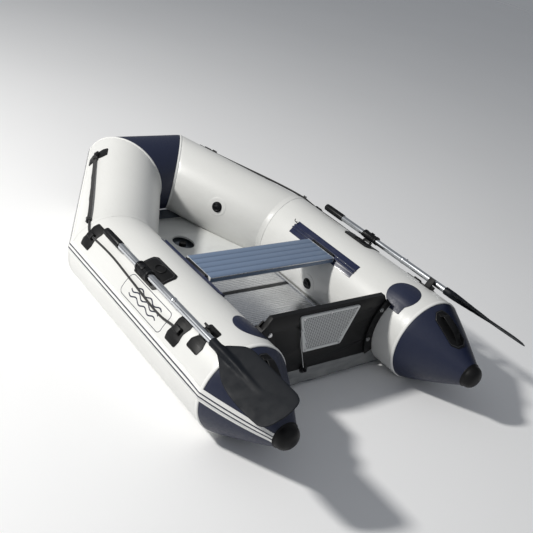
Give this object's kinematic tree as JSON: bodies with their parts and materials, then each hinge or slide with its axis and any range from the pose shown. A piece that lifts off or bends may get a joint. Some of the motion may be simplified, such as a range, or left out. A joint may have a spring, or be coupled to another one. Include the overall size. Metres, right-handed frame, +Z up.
{
  "type": "inflatable dinghy",
  "caption": "Small open inflatable dinghy with tapered stern cones, raised bow, plywood motor transom, ribbed aluminium floor, sliding bench, oars in pin rowlocks and grab ropes.",
  "frame": {"origin": "middle of the boat's length and beam, on the ground under the side tubes", "axes": "+X towards the bow, +Y to port, +Z up"},
  "size_m": [2.3551, 1.4728, 0.509],
  "materials": {
    "tube_fabric": "satin",
    "navy_fabric": "satin",
    "strake_band": "satin",
    "grey_fabric": "satin",
    "black_rubber": "matte",
    "black_plastic": "satin",
    "silver_aluminium": "satin",
    "slate_aluminium": "satin",
    "pale_trim": "satin",
    "black_plywood": "satin",
    "stainless_steel": "polished",
    "black_rope": "matte",
    "white_line": "satin"
  },
  "bodies": {
    "hull": {"air_keel": "grey_fabric", "bow_floor_board": "pale_trim", "carry_handles": "black_rubber", "cone_caps": "black_rubber", "drain_bush": "black_plastic", "drain_lanyard": "white_line", "floor_joiners": "black_plastic", "floor_panel_aft": "silver_aluminium", "floor_panel_fore": "silver_aluminium", "floor_panel_mid": "silver_aluminium", "floor_stringers": "silver_aluminium", "hull_bottom_skin": "grey_fabric", "keel_valve": "black_plastic", "motor_pad_aft": "pale_trim", "motor_pad_fore": "pale_trim", "nose_tube": "navy_fabric", "oar_clips": "black_rubber", "pad_screws": "stainless_steel", "port_bow_tube": "tube_fabric", "port_grab_rope": "black_rope", "port_side_tube": "tube_fabric", "rope_holders": "black_rubber", "rowlock_bases": "black_rubber", "rowlock_trunnions": "stainless_steel", "rub_strakes": "strake_band", "seat_tracks": "navy_fabric", "starboard_bow_tube": "tube_fabric", "starboard_grab_rope": "black_rope", "starboard_side_tube": "tube_fabric", "stern_cones": "navy_fabric", "tow_patch": "black_rubber", "transom_board": "black_plywood", "transom_bolts": "stainless_steel", "transom_holders": "black_rubber", "transom_patches": "navy_fabric", "transom_skirt": "grey_fabric", "valve_bodies": "black_plastic"},
    "seat": {"seat_bench": "slate_aluminium", "seat_end_caps": "pale_trim", "seat_slides": "black_plastic"},
    "port_lock": {"port_rowlock_yoke": "black_plastic"},
    "starboard_lock": {"starboard_rowlock_yoke": "black_plastic"},
    "port_oar": {"port_oar_upper_shaft": "silver_aluminium", "port_oar_lower_shaft": "silver_aluminium", "port_oar_grip": "black_plastic", "port_oar_sleeve": "black_plastic", "port_oar_blade": "black_plastic"},
    "starboard_oar": {"starboard_oar_upper_shaft": "silver_aluminium", "starboard_oar_lower_shaft": "silver_aluminium", "starboard_oar_grip": "black_plastic", "starboard_oar_sleeve": "black_plastic", "starboard_oar_blade": "black_plastic"},
    "port_button": {"port_oar_button": "stainless_steel"},
    "starboard_button": {"starboard_oar_button": "stainless_steel"},
    "port_valve_cap": {"port_side_valve_cap": "black_plastic"},
    "starboard_valve_cap": {"starboard_side_valve_cap": "black_plastic"},
    "bow_cap": {"bow_valve_cap": "black_plastic"},
    "keel_cap": {"keel_valve_cap": "black_plastic"},
    "drain_plug": {"drain_plug": "black_plastic"},
    "tow_ring": {"tow_ring": "stainless_steel"}
  },
  "joints": [
    {"name": "seat_slide", "type": "slide", "parent": "hull", "child": "seat", "axis": [1, 0, 0], "range_m": [-0.12, 0.14]},
    {"name": "port_oar_tilt", "type": "hinge", "parent": "hull", "child": "port_lock", "pos_m": [-0.1825, 0.64382, 0.39251], "axis": [1, 0, 0], "range_deg": [-8, 16]},
    {"name": "port_oar_swing", "type": "hinge", "parent": "port_lock", "child": "port_oar", "pos_m": [-0.1825, 0.65744, 0.41347], "axis": [0, -0.5446, -0.8387], "range_deg": [0, 100]},
    {"name": "starboard_oar_tilt", "type": "hinge", "parent": "hull", "child": "starboard_lock", "pos_m": [-0.1825, -0.64382, 0.39251], "axis": [-1, 0, 0], "range_deg": [-8, 16]},
    {"name": "starboard_oar_swing", "type": "hinge", "parent": "starboard_lock", "child": "starboard_oar", "pos_m": [-0.1825, -0.65744, 0.41347], "axis": [0, -0.5446, 0.8387], "range_deg": [0, 100]},
    {"name": "port_button_press", "type": "slide", "parent": "port_oar", "child": "port_button", "axis": [0, -0.5446, -0.8387], "range_m": [0, 0.004], "stiffness_N_per_m": 400, "springref_m": -0.001},
    {"name": "starboard_button_press", "type": "slide", "parent": "starboard_oar", "child": "starboard_button", "axis": [0, 0.5446, -0.8387], "range_m": [0, 0.004], "stiffness_N_per_m": 400, "springref_m": -0.001},
    {"name": "port_valve_cap_off", "type": "slide", "parent": "hull", "child": "port_valve_cap", "axis": [0, -0.9903, -0.1392], "range_m": [0, 0.015]},
    {"name": "starboard_valve_cap_off", "type": "slide", "parent": "hull", "child": "starboard_valve_cap", "axis": [0, 0.9903, -0.1392], "range_m": [0, 0.015]},
    {"name": "bow_cap_off", "type": "slide", "parent": "hull", "child": "bow_cap", "axis": [-0.5053, 0.8421, 0.1884], "range_m": [0, 0.015]},
    {"name": "keel_cap_off", "type": "slide", "parent": "hull", "child": "keel_cap", "axis": [0, 0, 1], "range_m": [0, 0.015]},
    {"name": "drain_plug_out", "type": "slide", "parent": "hull", "child": "drain_plug", "axis": [-1, 0, 0], "range_m": [0, 0.03]},
    {"name": "tow_ring_swing", "type": "hinge", "parent": "hull", "child": "tow_ring", "pos_m": [1.13726, 0, 0.16023], "axis": [0, -1, 0], "range_deg": [-30, 130]}
  ]
}
